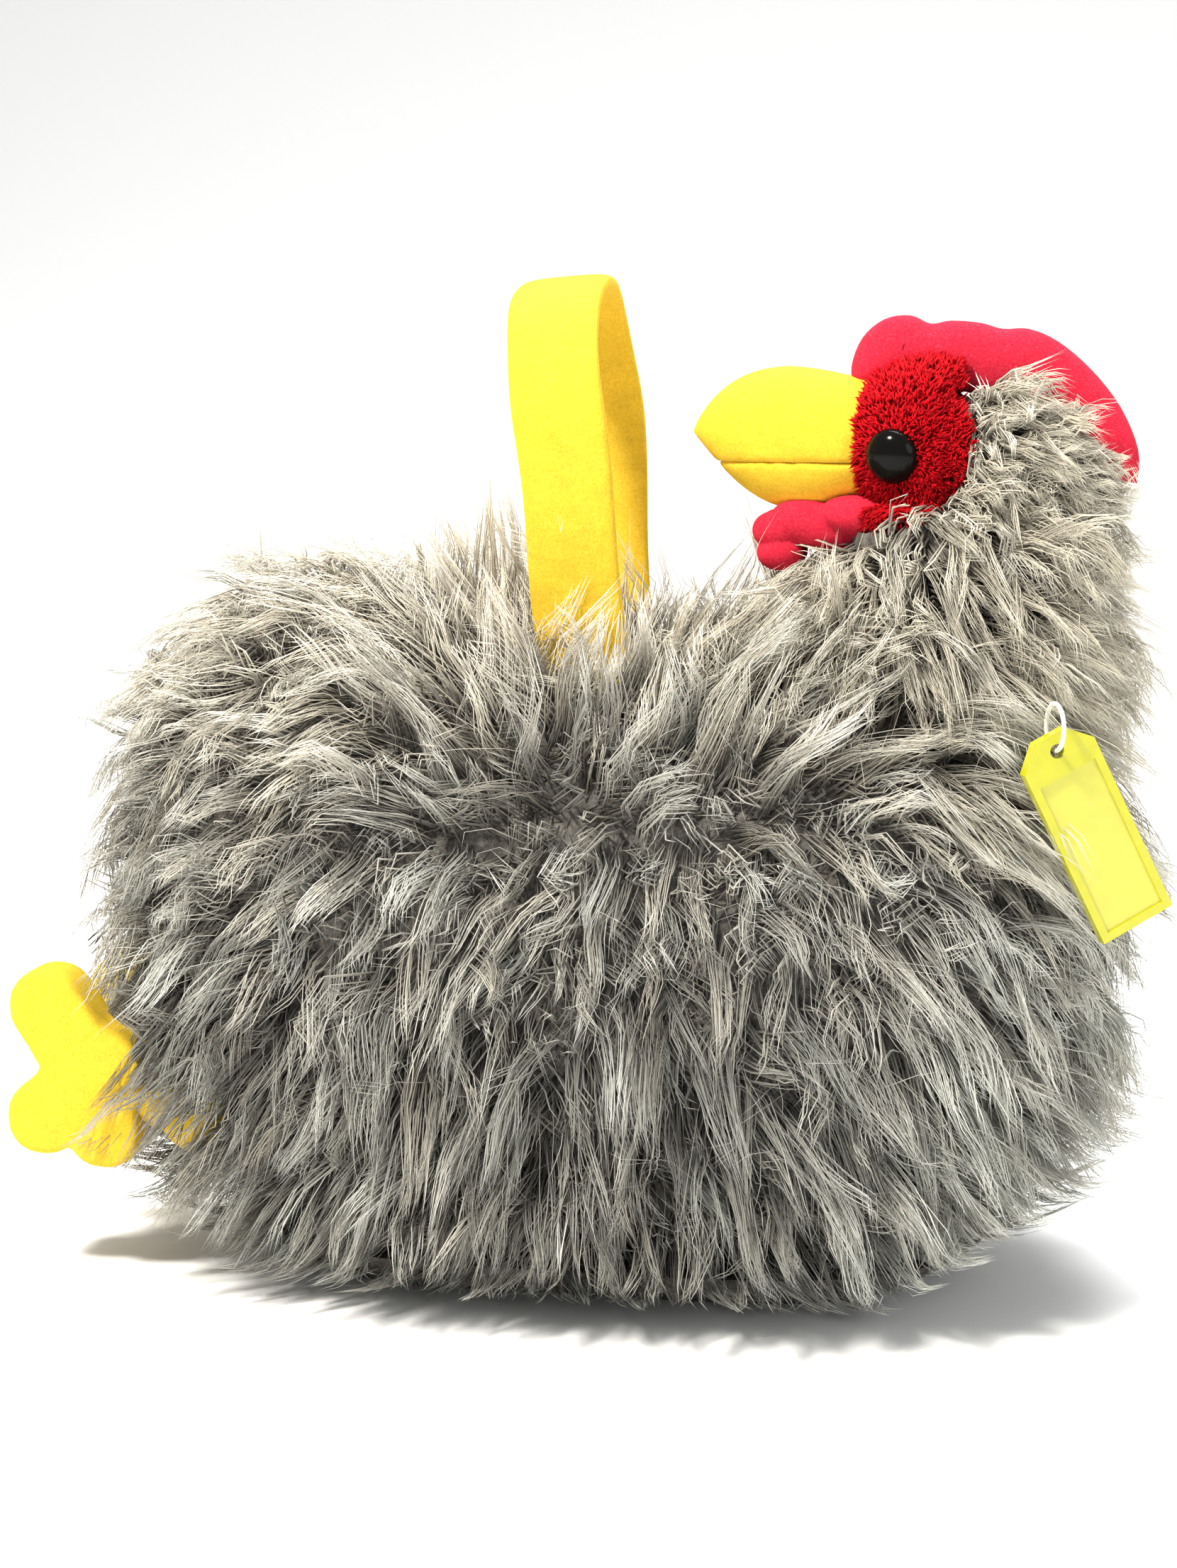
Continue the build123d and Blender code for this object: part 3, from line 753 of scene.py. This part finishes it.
def make_undercoat(skin):
    """Closed shells under the pile, cut from the skin, with a red one of its own behind the face."""
    x, z = skin.co[:, 0], skin.co[:, 2]
    face = in_face(skin.co) | ((x < 0.078) & (z > 0.211)) | ((x < 0.102) & (z > 0.240))
    chosen = {
        "undercoat_body": (z < NECK_LOW + 2 * MM) | (x < 0.045),
        "undercoat_neck": (z > NECK_LOW - 6 * MM) & (z < NECK_HIGH + 3 * MM) & (x > 0.04),
        "undercoat_head": (z > NECK_HIGH - 3 * MM) & (x > 0.04),
        "undercoat_face": face & (x > 0.04),
    }
    behind_face = skin.co - skin.normals * np.where(face, 5 * MM, 0)[:, None]
    for name, held in chosen.items():
        co = behind_face if name == "undercoat_head" else skin.co
        faces = skin.tris[held[skin.tris].all(1)]
        used, index = np.unique(faces, return_inverse=True)
        mesh = mesh_of(co[used], np.empty((0, 4), int), index.reshape(-1, 3))
        capped(mesh)
        yield name, add_object(name, mesh, RED_PLUSH if name == "undercoat_face" else UNDERCOAT)


def split_pile(part, layers):
    """Names of the pieces of a stretch of pile, with the strands of each layer that belong to them."""
    heads = [layer[0] for layer in layers]
    if part == "body":
        edges = np.quantile(heads[1][:, 0], [0.2, 0.4, 0.6, 0.8])
        for number, stretch in enumerate(("rump", "flank", "side", "shoulder", "breast")):
            for hand, sign in (("right", -1), ("left", 1)):
                yield f"pile_{stretch}_{hand}", [
                    (np.searchsorted(edges, h[:, 0]) == number) & (h[:, 1] * sign >= 0) for h in heads
                ]
    elif part == "neck":
        yield "pile_neck_lower", [h[:, 2] < NECK_HIGH for h in heads]
        yield "pile_neck_upper", [h[:, 2] >= NECK_HIGH for h in heads]
    else:
        yield "pile_head_left", [h[:, 1] < 0 for h in heads]
        yield "pile_head_right", [h[:, 1] >= 0 for h in heads]


def ride_pile(pieces):
    """Body pile rides on the torso and head pile on the head; the neck's pieces keep their place in the world
    and follow neither.
    """
    below, middle, above = ((NECK_AXIS.x, 0, z) for z in (NECK_LOW - 8 * MM, NECK_HIGH, NECK_HIGH + 18 * MM))
    for name, piece in pieces.items():
        if name in ("pile_neck_lower", "undercoat_neck"):
            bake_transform(piece)
            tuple(below)
            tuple(middle)
        elif name in ("pile_neck_upper", "undercoat_head"):
            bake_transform(piece)
            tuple(middle)
            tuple(above)
        else:
            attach(piece, "head" if "_head" in name or "_face" in name else "torso")
        "red_plush" if "_face" in name else "long_pile"


# ---- Strap, beak, comb, feet --------------------------------------------------------------------
def swept_tube(path, sides, widths, heights, exponent=2.0):
    """Closed tube of rounded sections. path holds (centre, across, up) for each section."""
    rings = []
    for (centre, across, up), width, height in zip(path, widths, heights):
        for i in range(sides):
            angle = math.tau * i / sides
            c, s = math.cos(angle), math.sin(angle)
            c = math.copysign(abs(c) ** (2 / exponent), c)
            s = math.copysign(abs(s) ** (2 / exponent), s)
            rings.append(Vector(centre) + Vector(across) * width * c + Vector(up) * height * s)
    count = len(path)
    quads = [
        (k * sides + i, k * sides + (i + 1) % sides, (k + 1) * sides + (i + 1) % sides, (k + 1) * sides + i)
        for k in range(count - 1)
        for i in range(sides)
    ]
    first, last = len(rings), len(rings) + 1
    rings += [Vector(path[0][0]), Vector(path[-1][0])]
    tris = [(first, (i + 1) % sides, i) for i in range(sides)]
    tris += [(last, (count - 1) * sides + i, (count - 1) * sides + (i + 1) % sides) for i in range(sides)]
    return mesh_of(np.array(rings), np.array(quads), np.array(tris))


STRAP_WIDTH = 25 * MM
STRAP_THICKNESS = 5 * MM
STRAP_LEG = 61.5 * MM            # from the hinge to where the arch starts
STRAP_ROOT = 10 * MM             # under the pile, below the hinge
STRAP_LEAN = math.radians(-5)    # towards the tail
STRAP_FLARE = math.radians(10)   # how far each leg opens upwards


def strap_line():
    """The middle of the strap, upright over its hinge: up one leg, round the arch, down the other."""
    low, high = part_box("handle_outer")
    radius = (high.y - low.y) / 2 - STRAP_THICKNESS / 2
    c, s = math.cos(STRAP_FLARE), math.sin(STRAP_FLARE)
    middle = JOINTS["handle_fold"].z + STRAP_LEG * c + radius * s
    knee = Vector((0, radius * c, middle - radius * s))
    leg = STRAP_LEG + STRAP_ROOT
    half = [knee - Vector((0, s, c)) * leg * (1 - k / 24) for k in range(24)]
    arch = []
    for k in range(65):
        angle = -STRAP_FLARE + (math.pi + 2 * STRAP_FLARE) * k / 64
        arch.append(Vector((0, radius * math.cos(angle), middle + radius * math.sin(angle))))
    return half + arch + [Vector((0, -p.y, p.z)) for p in reversed(half)]


def make_strap():
    """The carrying loop: a fleece band with slight waves in it, leaning to the tail."""
    hinge = JOINTS["handle_fold"]
    line = strap_line()
    path = []
    for k, p in enumerate(line):
        ahead = (line[min(k + 1, len(line) - 1)] - line[max(k - 1, 0)]).normalized()
        out = ahead.cross(Vector((1, 0, 0))).normalized()
        sway = 0.5 * MM * math.sin(p.z * 90) + 0.4 * MM * math.sin(p.y * 160 + 1)
        path.append((p + Vector((hinge.x + sway, 0, 0)), Vector((1, 0, 0)), out))
    widths = [STRAP_WIDTH / 2 * (1 + 0.012 * math.sin(k * 0.31)) for k in range(len(path))]
    heights = [STRAP_THICKNESS / 2 * (1 + 0.06 * math.sin(k * 0.47 + 1)) for k in range(len(path))]
    mesh = swept_tube(path, 40, widths, heights, 3.6)
    over = Matrix.Translation(hinge)
    mesh.transform(over @ Matrix.Rotation(STRAP_LEAN, 4, "Y") @ over.inverted())
    strap = add_object("strap", mesh, YELLOW)
    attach(strap, "handle")
    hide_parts("handle_outer", "handle_core", "handle_lining")


def puffed(name, nodes, body, material, voxel=1.0 * MM, smoothing=14, replaced=None, blobs=()):
    """A stuffed piece: the CAD solids fused, with their edges rounded by the filling."""
    piece = add_object(name, fused(nodes, voxel, smoothing, 0.4 * MM, blobs), material)
    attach(piece, body)
    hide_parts(*(replaced or nodes))


def rounded(line, steps):
    """A smooth line through the given points, with steps points to each stretch."""
    fine = []
    for k in range(len(line) - 1):
        a, b, c, d = line[max(k - 1, 0)], line[k], line[k + 1], line[min(k + 2, len(line) - 1)]
        for i in range(steps):
            t = i / steps
            square, cube = 2 * a - 5 * b + 4 * c - d, 3 * b - a - 3 * c + d
            fine.append(0.5 * (2 * b + (c - a) * t + square * t**2 + cube * t**3))
    return fine + [line[-1]]


# Top of the comb: x and z in mm, from above the beak to the nape.
CREST = [
    (72, 247), (71, 254), (74, 262), (80, 267), (87, 268), (92.5, 265.8), (98, 266.6), (106, 266),
    (112, 264.4), (119, 264.4), (127, 261), (136, 253.5), (144, 243.5), (149, 232), (149, 223),
]


def make_crest():
    """The comb: a stuffed ridge from above the beak over the crown to the nape, higher in front."""
    fine = rounded([Vector((x * MM, 0, z * MM)) for x, z in CREST], 4)
    path, heights, widths = [], [], []
    for k, p in enumerate(fine):
        ahead = (fine[min(k + 1, len(fine) - 1)] - fine[max(k - 1, 0)]).normalized()
        out = Vector((-ahead.z, 0, ahead.x))
        end = min(1, k / 3, (len(fine) - 1 - k) / 4)
        heights.append(MM * (1 + 8.5 * math.sqrt(end)))
        widths.append(MM * (0.8 + 4.0 * math.sqrt(end)))
        path.append((p - out * heights[-1], Vector((0, 1, 0)), out))
    crest = add_object("crest", swept_tube(path, 24, widths, heights, 2.3), RED_FLEECE)
    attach(crest, "head")
    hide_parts("comb")


def make_face_plush():
    """Short dense red pile round the eye, under the beak and up to the comb."""
    rng = np.random.default_rng(SEED + 1)
    base = Skin(fused(["head_stuffing", "face_patch_left", "face_patch_right"], 1.4 * MM, 3))
    for hand, sign in (("left", -1), ("right", 1)):
        def keep(points, normals):
            x, z = points[:, 0], points[:, 2]
            brow = (x > 0.074) & (x < 0.102) & (z > 0.248) & (z < 0.257)
            return (in_face(points) | brow) & (points[:, 1] * sign > 0) & (normals[:, 1] * sign > -0.2)

        count = FACE_PLUSH_STRANDS
        roots, stands = base.scatter(count, rng, keep)
        away = roots - np.array([84, sign * 20, 230.5]) * MM
        lean = unit(unit(away) * 0.7 + rng.normal(0, 0.45, roots.shape))
        heading = unit(stands + lean * 0.8)
        paths = [roots]
        for k in range(2):
            heading = unit(heading + lean * 0.45)
            paths.append(paths[-1] + heading * 1.7 * MM * rng.uniform(0.6, 1.2, (count, 1)))
        paths = np.stack(paths, 1)
        radii, tone = rng.uniform(0.42, 0.62, count) * MM, rng.integers(0, TONES, count)
        part = strand_parts(paths, radii, tone, np.zeros(count))
        piece = add_object(f"face_plush_{hand}", joined([part]), FACE_PLUSH)
        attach(piece, "head")


def make_soft_parts():
    """Beak, comb, wattles, feet and shanks."""
    puffed("beak_top_skin", ["beak_upper"], "head", YELLOW, 0.9 * MM, 12)
    puffed("beak_under_skin", ["beak_lower"], "head", YELLOW, 0.9 * MM, 12)
    make_crest()
    for hand, sign in (("left", -1), ("right", 1)):
        lobes = [
            blob((51.5, sign * 5.5, 209.5), (6.5, 4.0, 5.2)),
            blob((52.5, sign * 5.5, 203.3), (6.2, 4.0, 4.6)),
            blob((63, sign * 6.5, 211), (13, 4.6, 6.2), 14),
            blob((75, sign * 9, 213.5), (11, 6, 5.5), 8),
        ]
        wattle = [f"wattle_{hand}"]
        puffed(f"wattle_lobe_{hand}", [], "head", RED_FLEECE, 0.6 * MM, 5, wattle, lobes)
        nodes = [f"foot_{hand}_{part}" for part in ("outer", "sole", "stuffing")]
        puffed(f"foot_{hand}", nodes, f"{hand}_leg", YELLOW, 1.1 * MM, 16)
        puffed(f"shank_{hand}", [f"leg_{hand}"], f"{hand}_leg", YELLOW, 1.0 * MM, 6)


# ---- CAD nodes that stay ------------------------------------------------------------------------
def dress(material, *nodes):
    for node in nodes:
        mesh = frame["nodes"][node].data
        mesh.materials.clear()
        mesh.materials.append(material)


def dress_cad():
    """Finishes for the nodes that are shown as modelled, and for those inside."""
    eye = plastic("polished_black", (0.004, 0.0035, 0.003), 0.12, Specular_IOR_Level=0.10)
    dress(eye, "eye_left", "eye_right")
    dress(plastic("washer", (0.8, 0.8, 0.78), 0.5), "eye_washer_left", "eye_washer_right")
    dress(RED_PLUSH, "face_patch_left", "face_patch_right")
    dress(UNDERCOAT, "base_panel")
    white = fleece("filling", (0.7, 0.7, 0.68), (0.85, 0.85, 0.83), (0.95, 0.95, 0.94))
    dress(white, "body_stuffing", "neck_stuffing", "head_stuffing", "beak_stuffing")
    dress(white, "handle_anchor_left", "handle_anchor_right")
    case = plastic("tag_case", (0.50, 0.48, 0.004), 0.18, Coat_Weight=0.5, Coat_Roughness=0.05)
    dress(case, "tag_case")
    window = plastic("tag_window", (0.56, 0.53, 0.045), 0.14, Coat_Weight=0.5, Coat_Roughness=0.05)
    dress(window, "tag_window")
    dress(plastic("tag_card", (0.86, 0.82, 0.05), 0.6), "tag_insert")
    dress(plastic("nylon", (0.7, 0.7, 0.62), 0.35), "tag_loop")


# ---- Studio -------------------------------------------------------------------------------------
def make_camera():
    camera = bpy.data.cameras.new("camera")
    camera.sensor_fit = "VERTICAL"
    camera.angle_y = 2 * math.atan(VIEW_HEIGHT / 2 / VIEW_DISTANCE)
    obj = bpy.data.objects.new("camera", camera)
    bpy.context.scene.collection.objects.link(obj)
    level = math.cos(VIEW_ELEVATION)
    back = Vector((math.sin(VIEW_AZIMUTH) * level, -math.cos(VIEW_AZIMUTH) * level, math.sin(VIEW_ELEVATION)))
    obj.location = VIEW_CENTRE + back * VIEW_DISTANCE
    obj.rotation_euler = back.to_track_quat("Z", "Y").to_euler()
    bpy.context.scene.camera = obj


def area_light(name, place, size, power, colour=(1, 1, 1)):
    light = bpy.data.lights.new(name, "AREA")
    light.shape, light.size, light.energy, light.color = "DISK", size, power, colour
    obj = bpy.data.objects.new(name, light)
    bpy.context.scene.collection.objects.link(obj)
    obj.location = place
    obj.rotation_euler = (Vector(place) - VIEW_CENTRE).to_track_quat("Z", "Y").to_euler()


def make_lights():
    area_light("key", (-0.60, -0.80, 1.55), 0.30, 52, (1.0, 0.96, 0.89))
    area_light("fill", (1.3, -0.9, 0.8), 1.0, 7, (0.95, 0.97, 1.0))
    area_light("top", (0.25, 0.35, 1.5), 0.7, 14)
    area_light("backdrop", (0, 1.2, 2.6), 1.5, 60)
    bpy.data.objects["backdrop"].rotation_euler = (math.radians(-35), 0, 0)
    world = bpy.data.worlds.new("studio")
    world.use_nodes = True
    background = world.node_tree.nodes["Background"]
    background.inputs["Color"].default_value = (0.95, 0.97, 1.0, 1)
    background.inputs["Strength"].default_value = 0.5
    bpy.context.scene.world = world
    bpy.context.scene.view_settings.view_transform = "Standard"


def make_floor():
    """A white sweep: level floor that turns up behind the hen into a wall."""
    floor = bpy.data.meshes.new("floor")
    bend = 1.6
    turn = [(bend * (1 + math.sin(a)), bend * (1 - math.cos(a))) for a in np.linspace(0, math.pi / 2, 33)]
    profile = [(-5.0, 0.0), *turn, (2 * bend, 5.0)]
    verts = [(x, y, z) for y, z in profile for x in (-6.0, 6.0)]
    floor.from_pydata(verts, [], [(2 * i, 2 * i + 1, 2 * i + 3, 2 * i + 2) for i in range(len(profile) - 1)])
    floor.polygons.foreach_set("use_smooth", [True] * len(floor.polygons))
    shader = Shader("floor").principled(Roughness=0.9)
    shader.principled(Base_Color=(0.88, 0.88, 0.87, 1))
    add_object("floor", floor, shader.material)


REPLACED = {
    "undercoat_body": "body_stuffing",
    "undercoat_neck": "neck_stuffing",
    "undercoat_head": "head_stuffing",
    "pile_side_left": "side_panel_left",
    "pile_side_right": "side_panel_right",
    "pile_neck_lower": "neck_panel",
    "pile_head_left": "head_panel_left",
    "pile_head_right": "head_panel_right",
}

make_camera()
make_lights()
make_floor()
skin = make_skin()
pile = {**dict(make_pile(skin)), **dict(make_undercoat(skin)), "pile_tag_tuft": make_tag_tuft(skin)}
ride_pile(pile)
for piece, node in REPLACED.items():
    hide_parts(node)
make_strap()
make_soft_parts()
make_face_plush()
dress_cad()
